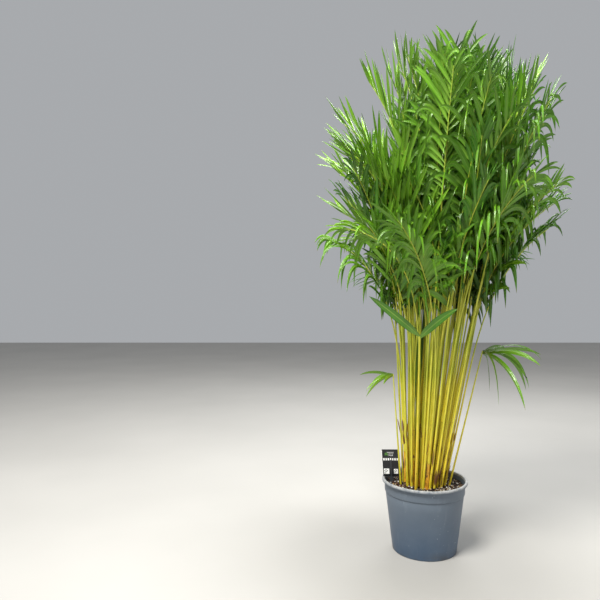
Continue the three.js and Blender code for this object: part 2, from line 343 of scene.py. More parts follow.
class Growth(Graph):
    """A Geometry Nodes tree with named inputs, in which Geometry is always the first."""

    def __init__(self, name, **inputs):
        super().__init__(bpy.data.node_groups.new(name, "GeometryNodeTree"))
        self.sockets = {}
        self.tree.interface.new_socket("Geometry", in_out="OUTPUT", socket_type="NodeSocketGeometry")
        for title, kind in {"Geometry": "Geometry", **inputs}.items():
            label = title.replace("_", " ")
            socket = self.tree.interface.new_socket(label, in_out="INPUT", socket_type="NodeSocket" + kind)
            self.sockets[title] = socket.identifier
        self.start = self.tree.nodes.new("NodeGroupInput")
        self.end = self.tree.nodes.new("NodeGroupOutput")

    def given(self, label):
        return Wire(self, self.start.outputs[label])

    def value(self, name, kind="FLOAT"):
        return self.add("GeometryNodeInputNamedAttribute", {"Name": name}, "Attribute", data_type=kind)

    def arrow(self, name):
        """A stored vector, where value gives a stored number."""
        return self.value(name, "FLOAT_VECTOR")

    def store(self, geometry, domain="POINT", **layers):
        """Keeps values on the geometry, to be read back by name."""
        for name, value in layers.items():
            kind = "FLOAT_VECTOR" if is_vector(value) else "FLOAT"
            inputs = {"Geometry": geometry, "Name": name, "Value": value}
            geometry = self.add("GeometryNodeStoreNamedAttribute", inputs, data_type=kind, domain=domain)
        return geometry

    def chance(self, low, high, stream):
        """A random number for each point. Every stream gives other numbers."""
        inputs = {2: low, 3: high, "Seed": self.given("Seed") + float(stream)}
        return self.add("FunctionNodeRandomValue", inputs, 1, data_type="FLOAT")

    def xyz(self, x, y, z):
        return self.add("ShaderNodeCombineXYZ", {0: x, 1: y, 2: z})

    def moved(self, geometry, **how):
        return self.add("GeometryNodeSetPosition", {"Geometry": geometry, **how})

    def spine(self, chain):
        return self.add("GeometryNodeMeshToCurve", {"Mesh": chain})

    def resampled(self, curve, count):
        return self.add("GeometryNodeResampleCurve", {"Curve": curve, "Count": count})

    def tube(self, curve, radius, sides):
        """A closed tube along a curve, with a radius that may change along it."""
        ring = self.add("GeometryNodeCurvePrimitiveCircle", {"Resolution": sides, "Radius": 1.0})
        inputs = {"Curve": curve, "Profile Curve": ring, "Scale": radius, "Fill Caps": True}
        return self.add("GeometryNodeCurveToMesh", inputs)

    def shaded(self, geometry, material, angle=0.9):
        """Smooth shading with sharp folds, and the material."""
        soft = self.add("GeometryNodeSetShadeSmooth", {0: geometry, "Shade Smooth": True}, domain="FACE")
        crease = self.math("GREATER_THAN", self.add("GeometryNodeInputMeshEdgeAngle"), angle)
        edges = {0: soft, "Selection": crease, "Shade Smooth": False}
        return self.skinned(self.add("GeometryNodeSetShadeSmooth", edges, domain="EDGE"), material)

    def skinned(self, geometry, material):
        return self.add("GeometryNodeSetMaterial", {"Geometry": geometry, "Material": material})

    def real(self, geometry):
        return self.add("GeometryNodeRealizeInstances", {"Geometry": geometry})

    def leafed(self, rod, points, blades, **blade):
        """A stalk together with leaflets on points, all with the plant's own tone."""
        inputs = {"Geometry": points, "Leaf": self.given("Leaf"), **blade}
        leaflets = self.add("GeometryNodeGroup", inputs, node_tree=blades.tree)
        joined = self.node("GeometryNodeJoinGeometry")
        for part in (rod, leaflets):
            self.feed(joined.inputs[0], part)
        return self.close(self.store(Wire(self, joined.outputs[0]), leaf_tone=self.given("Tone")))

    def strewn(self, bit, scale, tilts, rise):
        """Copies of a bit strewn over the given surface, each turned and shaded at random."""
        scatter = {"Mesh": self.given("Geometry"), "Density": self.given("Density"), "Seed": self.given("Seed")}
        points = self.add("GeometryNodeDistributePointsOnFaces", scatter, distribute_method="RANDOM")
        roll, pitch = tilts
        turn = self.xyz(self.chance(-roll, roll, 11), self.chance(-pitch, pitch, 12), self.chance(0.0, 6.283, 13))
        copies = {"Points": points, "Instance": bit, "Rotation": turn, "Scale": scale}
        placed = self.add("GeometryNodeInstanceOnPoints", copies)
        placed = self.store(placed, "INSTANCE", crumb_shade=self.chance(0.0, 1.0, 15))
        lift = {"Instances": placed, "Translation": self.xyz(0.0, 0.0, rise), "Local Space": False}
        return self.real(self.add("GeometryNodeTranslateInstances", lift))

    def close(self, geometry):
        self.feed(self.end.inputs[0], self.real(geometry))
        return self

    def grow(self, piece, **values):
        """Puts this tree on a piece, with its inputs set."""
        modifier = piece.modifiers.new("growth", "NODES")
        modifier.node_group = self.tree
        for title, value in values.items():
            modifier[self.sockets[title]] = value


def settle(pieces, keep=(), slot=None, nodes=None):
    """Turns each piece's live modifiers into its plain mesh, with only the attributes that its materials read.

    With a slot, it hands the pieces over too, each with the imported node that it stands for, if it has one.
    """
    bpy.context.view_layer.update()
    graph = bpy.context.evaluated_depsgraph_get()
    meshes = [bpy.data.meshes.new_from_object(piece.evaluated_get(graph)) for piece in pieces]
    wanted = {*keep, "position", "material_index", "sharp_face", "sharp_edge"}
    for piece, mesh in zip(pieces, meshes):
        if not mesh.polygons:
            raise RuntimeError(f"{piece.name} came out empty")
        piece.modifiers.clear()
        piece.data = mesh
        mesh.name = piece.name
        for name in [a.name for a in mesh.attributes if a.name not in wanted and not a.name.startswith(".")]:
            mesh.attributes.remove(mesh.attributes[name])
    if slot:
        for piece, node in zip(pieces, nodes or [None] * len(pieces)):
            finish_piece(piece, slot, *([node] if node else []))


# ---- the clump's plan


def cane_plan(index):
    """Where a cane stands, its height and its radius."""
    share = math.sqrt((index + 0.5) / CANES)
    angle = index * GOLDEN_ANGLE
    return SimpleNamespace(
        index=index,
        share=share,
        angle=angle,
        foot=compass(angle) * CLUMP_RADIUS * share,
        height=CANE_LOW + CANE_RANGE * vary(index, 1),
        radius=CANE_RADIUS * mix(0.88, 1.16, vary(index, 2)),
    )


def cane_axis(foot, height):
    """A point of a cane's axis at a height above the soil."""
    spread = 1 + FAN * height
    return Vector((foot.x * spread + LEAN * height, foot.y * spread, SOIL_EDGE + height))


def frond_plan(cane, rank):
    """One frond of a cane. Ranks 0 and 1 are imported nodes; ranks 2 and 3 leave the cane lower down, between them."""
    packed = rank < 2
    index = cane.index * 2 + (rank if packed else rank - 2 + 2 * CANES)
    outer = rank in (0, 2)
    edge = cane.share ** 2
    turn = mix(20, 42, vary(index, 3)) * (-1 if outer else 1)
    zenith = mix(UPRIGHT_ZENITH, SPREADING_ZENITH, edge) + (OUTER_FROND_SPREAD * edge if outer else 0)
    plan = SimpleNamespace(
        cane=cane,
        index=index,
        edge=edge,
        top=cane.height,
        seat=cane.angle + rank * math.pi,
        azimuth=cane.angle + math.radians(turn),
        length=FROND_LENGTH * mix(1.03, 0.83, edge) * (0.86 if outer else 1) * mix(0.94, 1.04, vary(index, 4)),
        zenith=math.radians(zenith + 10 * vary(index, 5)),
        bend=mix(1.5, 2.1, vary(index, 6)),
        size=mix(0.9, 1.08, vary(index, 7)),
    )
    if not packed:
        side = 1 if outer else -1
        plan.top *= mix(0.84, 1.0, vary(index, 8))
        plan.seat = cane.angle + side * math.pi / 2
        plan.azimuth = cane.angle + side * math.radians(mix(50, 105, vary(index, 9)))
        plan.length *= mix(0.86, 1.0, vary(index, 10))
        plan.zenith *= mix(0.8, 1.6, vary(index, 11))
        plan.bend = mix(2.0, 3.4, vary(index, 12))
    front = max(0.0, -math.sin(plan.azimuth))
    plan.front = front
    plan.size *= 1 - 0.3 * front
    plan.zenith *= 1 if packed else 1 - 0.4 * front
    return plan


def arch(point, start, plan, steps=27):
    """Points from a stalk's straight part to the frond's tip, and the way the upper side faces at each."""
    outward = compass(plan.azimuth)
    end = outward * math.sin(plan.zenith) + UP * math.cos(plan.zenith)
    across = UP.cross(outward)
    points, faces = [], []
    for step in range(steps + 1):
        along = start.lerp(end, (step / steps) ** plan.bend).normalized()
        points.append(point.copy())
        faces.append(along.cross(across).normalized())
        point = point + along * (plan.length / steps)
    return points, faces


def frond_spine(plan):
    """A cane frond's line. It starts down inside the cane's sheath and leaves at the cane's top."""
    foot = plan.cane.foot
    top = cane_axis(foot, plan.top)
    start = (top - cane_axis(foot, 0)).normalized()
    seat = compass(plan.seat)
    beside = (seat - start * seat.dot(start)).normalized()
    points, faces = arch(top + beside * (PETIOLE_RADIUS + GAP) + start * GAP, start, plan)
    inside = [points[0] - start * depth - beside * 0.0012 for depth in (SHEATH_DEPTH, 0.05, 0.025)]
    return inside + points, [faces[0]] * 3 + faces, SHEATH_DEPTH


def stem_spine(plan):
    """A young stem's line: it comes straight out of the soil and follows the clump's fan."""
    rise = []
    for k in range(9):
        height = mix(-0.02, plan.top, k / 8)
        rise.append(cane_axis(plan.foot, height) + plan.sway * max(0.0, height) ** 1.5)
    points, faces = arch(rise[-1], (rise[-1] - rise[-2]).normalized(), plan)
    return rise[:-1] + points, [faces[0]] * 8 + faces, plan.top + 0.02


def blade_start(plan, points, bare):
    """How far along its line a frond's leaflets start: after the stalk, and clear of the bare sticks below."""
    start = (bare + mix(*BARE_SHARE, plan.front) * plan.length) / (bare + plan.length)
    steps = [(b - a).length for a, b in zip(points, points[1:])]
    clear = mix(*BARE_HEIGHT, plan.front)
    below = sum(step for step, point in zip(steps, points) if point.z < clear)
    return max(start, min(LATEST_LEAFLETS, below / sum(steps)))


def fenced(plan, spine_of):
    """A frond's line, leant less and cut shorter until it stays within the crown's own outline."""
    for _ in range(40):
        points, faces, bare = spine_of(plan)
        if any(not CROWN_X[0] < p.x < CROWN_X[1] or not CROWN_Y[0] < p.y < CROWN_Y[1] for p in points):
            plan.zenith *= 0.94
        elif points[-1].z > CROWN_TOP:
            plan.length *= 0.98
        else:
            break
    return points, faces, bare


def stem_spots(count):
    """Where the young stems stand between the canes: pushed apart until nothing is too close."""
    canes = [cane_plan(index).foot for index in range(CANES)]
    spots = []
    for index in range(count):
        reach = CLUMP_RADIUS * 1.12 * math.sqrt((index + 0.5) / count)
        spots.append(compass((index + 0.37) * GOLDEN_ANGLE + 1.1) * reach)
    for _ in range(60):
        for index, spot in enumerate(spots):
            for other in canes + spots[:index] + spots[index + 1 :]:
                away = spot - other
                least = STEM_TO_CANE if other in canes else STEM_TO_STEM
                if away.length < least:
                    spot = spot + away.normalized() * (least - away.length) * 0.5
            if spot.length > STEM_CIRCLE:
                spot = spot.normalized() * STEM_CIRCLE
            spots[index] = spot
    return spots


def stem_plan(index, spot):
    """One young stem. It leans and arches more towards the clump's edge, and less at the front."""
    edge = min(1.0, (spot.length / CLUMP_RADIUS) ** 2)
    low = vary(index, 21) * edge if index % 3 else edge
    way = compass(math.atan2(spot.y, spot.x) + math.radians(mix(-48, 48, vary(index, 23))))
    front = max(0.0, -way.y)
    low *= 1 - 0.55 * front
    way.x -= 0.6 * (1 - low)
    return SimpleNamespace(
        edge=edge,
        foot=spot,
        front=front,
        sway=compass(2 * math.pi * vary(index, 29)) * mix(0.0, 0.07, vary(index, 30)),
        top=mix(0.44, 0.25, low) * mix(0.85, 1.15, vary(index, 22)),
        azimuth=math.atan2(way.y, way.x),
        length=mix(0.86, 0.56, low) * mix(0.85, 1.08, vary(index, 24)),
        zenith=math.radians(mix(2, 100, low) + mix(16, 24, low) * vary(index, 25)),
        bend=mix(1.8, 3.4, vary(index, 26)),
        size=mix(0.82, 1.05, vary(index, 27)),
    )


def line_mesh(name, points, chained, layers):
    """Bare points, of which the first ones are chained, with layers for the trees to read."""
    mesh = bpy.data.meshes.new(name)
    mesh.from_pydata(points, [(i, i + 1) for i in range(chained - 1)], [])
    for title, values in layers.items():
        if isinstance(values[0], Vector):
            flat = [c for value in values for c in value]
            mesh.attributes.new(title, "FLOAT_VECTOR", "POINT").data.foreach_set("vector", flat)
        else:
            mesh.attributes.new(title, "FLOAT", "POINT").data.foreach_set("value", values)
    return mesh


def blade_points(name, blades, path=()):
    """A stalk's points, then one loose point for each blade, with the layers that the blade tree reads."""
    bare = {"heading": UP, "rib": UP, "upper": UP, "blade_length": 0.0, "blade_width": 0.0, "blade_droop": 0.0}
    rows = [{**bare, **row} for row in [{"spot": point} for point in path] + blades]
    layers = {key: [row[key] for row in rows] for key in bare}
    for key in ("heading", "rib", "upper"):
        layers[key] = [way.normalized() for way in layers[key]]
    chance = random.Random(7)
    layers["blade_twist"] = [chance.uniform(-1, 1) for _ in rows]
    layers["leaf_own"] = [chance.random() for _ in rows]
    return line_mesh(name, [row["spot"] for row in rows], len(path), layers)


# ---- materials


def pot_plastic(settings):
    """Grey moulded plastic: bluer and darker below, lighter grey above, with a dusty mottle, water spots and a pale
    rim that is partly worn plastic and partly a painted highlight along the lip.
    """
    s = Shader("nursery_pot_plastic")
    # darker and bluer towards the base, lighter and greyer towards the rim
    s.base(s.ramp(s.height, 0.01, 0.17), settings.low_color, settings.high_color)
    cloud = s.noise(9.0, 4.0, 0.6)
    s.over(s.ramp(cloud, 0.4, 0.75, 0.0, 0.3), "717d89")
    drip = s.noise(16.0, 3.0, 0.6, s.stretched(3.0, 3.0, 0.35))
    s.over(s.ramp(drip, 0.56, 0.76, 0.0, 0.18), "8a939b")
    s.over(s.ramp(s.height, 0.0, 0.03, 0.6, 0.0) * s.ramp(s.noise(30.0), 0.4, 0.7), "4a443c")
    spots = s.ramp(s.cells(120.0), 0.10, 0.2, 1.0, 0.0) * s.ramp(s.cells(120.0, "Color"), 0.62, 0.66)
    s.over(spots * s.ramp(s.noise(11.0), 0.52, 0.68) * 0.6, "b9c1c6")
    # pale rim: a painted highlight along the rounded lip, broken up by noise like worn, scuffed plastic
    rim = s.ramp(s.height, 0.2025, 0.2065) * s.ramp(s.noise(60.0, 4.0, 0.65), 0.28, 0.5)
    s.over(rim * 0.85, "b4b5b4")
    s.over(s.ramp(s.height, 0.197, 0.209) * s.ramp(s.noise(240.0, 3.0, 0.7), 0.6, 0.68), "4a3a2e")
    grain = s.noise(900.0, 2.0, 0.6) * 0.4 + cloud * 0.6
    return s.finish(s.ramp(cloud, 0.3, 0.8, 0.42, 0.62), grain, 0.0004, 0.35)


def peat():
    """Dark damp peat."""
    s = Shader("damp_peat")
    clod, fine = s.noise(150.0, 6.0, 0.7), s.noise(700.0, 3.0, 0.6)
    s.base(s.ramp(clod, 0.35, 0.68), "0a0504", "2a1810")
    s.over(s.ramp(fine, 0.62, 0.75, 0.0, 0.5), "6a4a33")
    return s.finish(s.ramp(clod, 0.3, 0.7, 0.95, 0.7), clod + fine * 0.4, 0.003, 0.8)


def crumb(name, dark, light, rough):
    """Loose bits on the soil, each with its own shade."""
    s = Shader(name)
    s.base(s.attribute("crumb_shade"), dark, light)
    grain = s.noise(800.0, 4.0, 0.65)
    s.over(s.ramp(grain, 0.4, 0.7, 0.0, 0.45), dark)
    return s.finish(rough, grain, 0.0008, 0.7)


def cane_skin(settings):
    """Smooth golden cane: orange and speckled at the foot, greener above, with leaf scars."""
    s = Shader("golden_cane_skin")
    height, own, scar = s.attribute("cane_height"), s.attribute("cane_own"), s.attribute("cane_ring")
    streak = s.threads(420.0, 9.0)
    s.base(s.ramp(streak, 0.35, 0.7), settings.gold, "f2dc52")
    above = s.ramp(height, 0.05, 0.3) * s.ramp(s.noise(11.0, 2.0), 0.36, 0.64)
    s.over(s.math("ADD", above, s.ramp(own, 0.5, 0.95, 0.0, 0.7), clamp=True) * 0.75, settings.green)
    s.over(s.ramp(height, 0.0, 0.16, 1.0, 0.0) * s.ramp(own, 0.65, 0.2, 0.25, 0.85), "de8f26")
    s.over(s.ramp(scar, 0.72, 0.98, 0.0, 0.4), "7d5a23")
    fleck = s.flecks(240.0, 0.3) * s.ramp(height, 0.02, 0.2, 1.0, 0.25)
    s.over(fleck * s.ramp(s.noise(36.0), 0.44, 0.56), "4a2412")
    s.over(s.ramp(height, 0.0, 0.06, 1.0, 0.0) * s.ramp(s.noise(70.0, 4.0, 0.7), 0.46, 0.62), "5a2c14")
    return s.finish(s.ramp(streak, 0.3, 0.7, 0.34, 0.5), streak + scar * -0.4, 0.0006, 0.5)


def sheath_fibre():
    """Dry brown remains of old leaf sheaths."""
    s = Shader("dry_sheath")
    thread = s.threads(900.0, 30.0, 0.65)
    s.base(s.ramp(thread, 0.35, 0.65), "2c140a", "7d4a22")
    s.over(s.attribute("leaf_own") * 0.5, "b98a52")
    return s.finish(0.8, thread, 0.001, 0.8)


def stalk_skin(settings):
    """Leaf stalk and midrib: orange at the soil, golden low down, lime green up in the leaf."""
    s = Shader("leaf_stalk_skin")
    own, streak = s.attribute("leaf_tone"), s.threads(380.0, 7.0)
    s.base(s.ramp(streak, 0.35, 0.7), settings.stalk_gold, "f2e24c")
    s.over(s.ramp(own, 0.5, 0.95, 0.0, 0.65), "b6b826")
    place = s.height + own * 0.25
    for low, high, dark, light in ((0.42, 0.8, "b4ba2c", "dcd95c"), (0.95, 1.4, "86a62a", "bcc852")):
        s.over(s.ramp(place, low, high), s.blend(s.ramp(streak, 0.35, 0.7), dark, light))
    s.over(s.ramp(s.noise(9.0, 2.0), 0.48, 0.64) * s.ramp(s.height, 0.24, 0.6, 0.1, 0.6), "9aae26")
    s.over(s.ramp(s.height, 0.19, 0.4, 1.0, 0.0) * s.ramp(own, 0.5, 0.12, 0.1, 0.8), "e09a22")
    fleck = s.flecks(230.0, 0.25) * s.ramp(s.noise(30.0), 0.46, 0.6)
    s.over(fleck * s.ramp(s.height, 0.2, 0.6, 1.0, 0.0), "4d2712")
    return s.finish(s.ramp(streak, 0.3, 0.7, 0.36, 0.48), streak, 0.0004, 0.4)


def leaf_skin(settings):
    """Waxy green leaflet with a pale midrib, fine long veins, a paler underside, and painted shade on leaflets near
    the crown's middle.
    """
    s = Shader("waxy_leaflet")
    across, along, face, own, tone = (s.attribute(name) for name in LEAF_LAYERS)
    patch = s.noise(7.0, 3.0, 0.55)
    depth = own * 0.55 + patch * 0.6 + tone * 0.35
    s.base(s.ramp(depth, 0.3, 1.1), settings.deep_green, settings.leaf_green)
    s.over(s.ramp(tone, 0.4, 1.0, 0.0, 0.7), settings.young_green)
    s.over(s.ramp(along, 0.0, 0.25, 0.35, 0.0), "9db63c")
    vein = s.math("SINE", across * 34.0)
    s.over(s.ramp(vein, -1.0, 1.0, 0.0, 0.16), "8db548")
    rib = s.ramp(s.math("ABSOLUTE", across), 0.03, 0.12, 1.0, 0.0)
    s.over(rib * 0.6, "a9c35a")
    s.over(s.ramp(along, 0.93, 1.0) * s.ramp(own, 0.3, 0.8), "8a7434")
    # painted shade: leaflets close to the crown's upright middle are darkened towards 061c02, as if the outer fronds
    # shaded them
    from_middle = s.vector("LENGTH", (s.place - CROWN_MIDDLE) * (1.0, 1.0, 0.0))
    s.over(s.ramp(from_middle, 0.08, 0.23, 1.0, 0.0) * 0.72, "061c02")
    under = s.ramp(face, -0.25, -0.02, 1.0, 0.0)
    s.over(under * 0.22, "6fa53c")
    rough = s.ramp(patch, 0.3, 0.7, 0.18, 0.31) + under * 0.1
    return s.finish(rough, vein + rib * 2.0, 0.00025, 0.5)


def label_plastic():
    """Black printed tag."""
    s = Shader("tag_black_plastic")
    dust = s.noise(60.0, 4.0, 0.6)
    s.base(s.ramp(dust, 0.45, 0.75, 0.0, 0.35), "101214", "3b4044")
    return s.finish(s.ramp(dust, 0.3, 0.7, 0.28, 0.45), s.noise(500.0), 0.0003, 0.3)


def tag_ink(name, code):
    """A printed patch on the tag, slightly rubbed."""
    s = Shader(name)
    rub = s.noise(220.0, 4.0, 0.7)
    s.base(s.ramp(rub, 0.62, 0.78, 0.0, 0.35), code, "6f7274")
    return s.finish(s.ramp(rub, 0.3, 0.7, 0.35, 0.5))


def plain_studio(name, code, rough):
    """Matt studio surface with a faint mottle."""
    s = Shader(name)
    s.base(s.ramp(s.noise(1.6, 3.0, 0.5), 0.3, 0.7), code, [c * 0.93 for c in paint(code)[:3]])
    return s.finish(rough)


# ---- growth trees


def blade_tree():
    """Leaflets on points, which say where each one goes and how big it is. A blade bends under its weight."""
    g = Growth("Leaflet blades", Sections="Int", Fold="Float", Thickness="Float", Twist="Float", Leaf="Material")
    line = g.add("GeometryNodeCurvePrimitiveLine", {"Start": (0, 0, 0), "End": (0, 0, 1)})
    spot = g.add("GeometryNodeInputPosition")
    blade = g.store(g.tube(g.resampled(line, g.given("Sections")), 1.0, 4), blade=spot)
    placed = g.add("GeometryNodeInstanceOnPoints", {"Points": g.given("Geometry"), "Instance": blade})

    own = g.arrow("blade")
    x, y, t = g.outputs("ShaderNodeSeparateXYZ", {0: own})
    heading, rib = g.arrow("heading"), g.arrow("rib")
    fall = g.value("blade_droop") * t
    ahead = t * (1.0 - fall * 0.35)
    centre = spot - own + (heading * ahead + g.scaled(DOWN, fall * t * 0.5)) * g.value("blade_length")
    tangent = g.vector("NORMALIZE", heading * (1.0 - fall * 0.7) + g.scaled(DOWN, fall))
    across = g.vector("NORMALIZE", rib - tangent * g.vector("DOT_PRODUCT", rib, tangent))
    normal = g.vector("CROSS_PRODUCT", tangent, across)
    facing = g.vector("DOT_PRODUCT", normal, g.arrow("upper"))
    hand = g.math("GREATER_THAN", facing, 0.0) * 2.0 - 1.0
    across, normal = across * hand, normal * hand
    turn = g.given("Twist") * t * g.value("blade_twist")
    cos, sin = g.math("COSINE", turn), g.math("SINE", turn)
    outline = g.curve(
        t, [(0.0, 0.22), (0.07, 0.55), (0.18, 0.88), (0.34, 1.0), (0.58, 0.93), (0.8, 0.62), (0.93, 0.27), (1.0, 0.01)]
    )
    half = outline * g.value("blade_width") * 0.5
    raised = y * g.given("Thickness") * (outline + 0.15) - g.math("ABSOLUTE", x) * half * g.given("Fold")
    place = centre + (across * cos + normal * sin) * (x * half) + (normal * cos - across * sin) * raised
    shaped = g.store(g.moved(g.real(placed), Position=place), leaf_across=x, leaf_along=t, leaf_face=y)
    return g.close(g.shaded(shaped, g.given("Leaf"), 0.35))


def frond_tree(blades):
    """A feather frond on a line of points: a tapering stalk with two rows of leaflets."""
    numbers = ("Blade_start", "Leaflet_length", "Leaflet_width", "Angle_low", "Angle_tip", "Lift", "Droop")
    numbers += ("Stalk_radius", "Tip_radius", "Sheath", "Tone")
    inputs = {"Pairs": "Int", **{name: "Float" for name in numbers}, "Seed": "Int"}
    g = Growth("Feather frond", **inputs, Leaf="Material", Stalk="Material")
    spine = g.spine(g.given("Geometry"))
    share = g.add("GeometryNodeSplineParameter", output="Factor")
    taper = g.lerp(share, g.given("Stalk radius"), g.given("Tip radius"))
    sheath = 1.0 + g.given("Sheath") * g.ramp(share, 0.0, 0.13, 1.0, 0.0)
    rod = g.shaded(g.tube(g.resampled(spine, 40), taper * sheath, 8), g.given("Stalk"))

    cut = g.add("GeometryNodeTrimCurve", {0: spine, 2: g.given("Blade start"), 3: 0.992}, mode="FACTOR")
    row = g.store(g.resampled(cut, g.given("Pairs")), row_share=share, rib=g.add("GeometryNodeInputTangent"))
    roots = g.add("GeometryNodeCurveToPoints", {"Curve": row}, mode="EVALUATED")
    roots, copy = g.outputs("GeometryNodeDuplicateElements", {"Geometry": roots, "Amount": 2}, domain="POINT")
    roots = g.store(roots, hand=copy * 2.0 - 1.0)

    u, hand, rib = g.value("row_share"), g.value("hand"), g.arrow("rib")
    upper = g.vector("NORMALIZE", g.arrow("upper"))
    side = g.vector("NORMALIZE", g.vector("CROSS_PRODUCT", upper, rib)) * hand
    roots = g.moved(roots, Offset=rib * (hand * 0.004 + g.chance(-0.004, 0.004, 1)))
    angle = g.lerp(g.math("POWER", u, 0.85), g.given("Angle low"), g.given("Angle tip")) + g.chance(-0.16, 0.16, 2)
    lift = g.given("Lift") + g.chance(-0.34, 0.34, 3)
    out = side * g.math("COSINE", lift) + upper * g.math("SINE", lift)
    heading = rib * g.math("COSINE", angle) + out * g.math("SINE", angle)
    reach = g.curve(u, [(0.0, 0.66), (0.15, 0.92), (0.4, 1.0), (0.7, 0.84), (1.0, 0.42)]) * g.chance(0.86, 1.06, 4)
    breadth = g.ramp(u, 0.3, 1.0, 1.0, 0.62) * g.chance(0.8, 1.15, 5)
    sag = g.given("Droop") * g.chance(0.35, 1.5, 6) * g.ramp(u, 0.0, 1.0, 1.2, 0.65)
    roots = g.store(
        roots,
        heading=g.vector("NORMALIZE", heading),
        blade_length=reach * g.given("Leaflet length"),
        blade_width=breadth * g.given("Leaflet width"),
        blade_droop=g.math("MINIMUM", sag, 1.35),
        blade_twist=g.chance(-1.0, 1.0, 7),
        leaf_own=g.chance(0.0, 1.0, 8),
    )
    return g.leafed(rod, roots, blades, Sections=11, Fold=0.42, Thickness=0.00035, Twist=0.5)


def seedling_tree(blades):
    """A bare stalk with a few leaflets at its end. The chain of points is the stalk; loose points are leaflets."""
    g = Growth("Seedling", Stalk_radius="Float", Tone="Float", Leaf="Material", Stalk="Material")
    loose = {"Geometry": g.given("Geometry"), "Selection": g.math("GREATER_THAN", g.value("blade_length"), 0.0)}
    roots, chain = g.outputs("GeometryNodeSeparateGeometry", loose, domain="POINT")
    share = g.add("GeometryNodeSplineParameter", output="Factor")
    radius = g.given("Stalk radius") * g.ramp(share, 0.0, 1.0, 1.1, 0.6)
    rod = g.shaded(g.tube(g.resampled(g.spine(chain), 24), radius, 8), g.given("Stalk"))
    return g.leafed(rod, roots, blades, Sections=16, Fold=0.24, Thickness=0.0004, Twist=0.4)


def cane_tree():
    """A cane on its axis: swollen foot, ring scars where old leaves were, and a narrower top."""
    numbers = dict.fromkeys(("Radius", "Swell", "Ring_gap", "Ring_rise", "Own"), "Float")
    g = Growth("Ringed cane", **numbers, Skin="Material")
    own = g.given("Own")
    share, reach, _ = g.outputs("GeometryNodeSplineParameter")
    height = reach - PLANT_DEPTH
    beat = (height + own * 0.03) / g.given("Ring gap")
    wave = g.math("COSINE", beat * (2 * math.pi))
    ring = g.math("POWER", g.ramp(wave, -1.0, 1.0), 14.0)
    axis = g.store(g.resampled(g.spine(g.given("Geometry")), 96), cane_ring=ring, cane_height=height)
    foot = (g.given("Swell") - 1.0) * g.ramp(height, 0.0, 0.06, 1.0, 0.0)
    size = (1.0 + foot + ring * g.given("Ring rise")) * g.ramp(share, 0.93, 1.0, 1.0, 0.62)
    rod = g.store(g.tube(axis, g.given("Radius") * size, 14), cane_own=own)
    return g.close(g.shaded(rod, g.given("Skin")))


def litter_tree():
    """Loose bits lying on a surface, each turned and sized at random."""
    numbers = dict.fromkeys(("Density", "Size", "Flatness", "Slimness", "Sink"), "Float")
    g = Growth("Loose litter", **numbers, Seed="Int", Skin="Material")
    bit = g.add("GeometryNodeMeshIcoSphere", {"Radius": 0.5, "Subdivisions": 1})
    lump = g.add("ShaderNodeTexNoise", {"Scale": 2.3, "Detail": 1.0}, "Color", noise_dimensions="3D")
    bit = g.moved(bit, Offset=(lump - (0.5, 0.5, 0.5)) * 0.5)
    size = g.given("Size") * g.math("POWER", g.chance(0.35, 1.25, 14), 1.4)
    scale = g.xyz(1.0, g.given("Slimness"), g.given("Flatness")) * size
    real = g.strewn(bit, scale, (0.6, 0.6), size * g.given("Sink"))
    return g.close(g.skinned(real, g.given("Skin")))


def fibre_tree():
    """Curved fibres lying on a surface, such as rootlets."""
    numbers = dict.fromkeys(("Density", "Length", "Thickness", "Rise"), "Float")
    g = Growth("Loose fibres", **numbers, Seed="Int", Skin="Material")
    bow = {"Resolution": 7, "Start": (-0.5, 0, 0), "Middle": (0.0, 0.35, 0.3), "End": (0.5, -0.1, 0)}
    arc = g.add("GeometryNodeCurveQuadraticBezier", bow)
    thread = g.tube(arc, g.given("Thickness") / g.given("Length"), 4)
    real = g.strewn(thread, g.given("Length") * g.chance(0.4, 1.3, 14), (0.5, 0.3), g.given("Rise"))
    return g.close(g.shaded(real, g.given("Skin")))


# ---- settings


def number_field(title, default, text, **more):
    return FloatProperty(name=title, default=default, description=text, **more)


def length_field(title, default, text):
    return number_field(title, default, text, subtype="DISTANCE", unit="LENGTH", precision=4)


def count_field(title, default, least, text):
    return IntProperty(name=title, default=default, min=least, description=text)


def colour_field(title, code, text):
    default = paint(code)[:3]
    return FloatVectorProperty(name=title, default=default, size=3, subtype="COLOR", min=0, max=1, description=text)


class PotSettings(bpy.types.PropertyGroup):
    wall: length_field("Wall", 0.002, "Thickness of the pot's wall")
    band_height: length_field("Band", 0.028, "Height of the stacking band under the rim")
    rim_height: length_field("Rim", 0.009, "Height of the rolled rim")
    drain_radius: length_field("Drain hole", 0.005, "Radius of each drain hole in the base")
    low_color: colour_field("Lower colour", "41566e", "Plastic colour near the base")
    high_color: colour_field("Upper colour", "616c78", "Plastic colour near the rim")


class SoilSettings(bpy.types.PropertyGroup):
    roughness: length_field("Roughness", 0.0035, "How far clods rise and fall")
    bark_density: number_field("Bark", 26000, "Bark bits on each square metre")
    perlite_density: number_field("Perlite", 9000, "White granules on each square metre")
    root_density: number_field("Rootlets", 3500, "Fine roots on each square metre")


class CaneSettings(bpy.types.PropertyGroup):
    swell: number_field("Swell", 1.4, "How much wider a cane is at the soil")
    ring_gap: length_field("Ring gap", 0.058, "Distance between two leaf scars")
    ring_rise: number_field("Ring rise", 0.06, "How far a scar stands out, as a share of the radius")
    gold: colour_field("Gold", "e6bd18", "Main colour of a cane")
    green: colour_field("Green", "a8a81e", "Colour of the greener stretches")


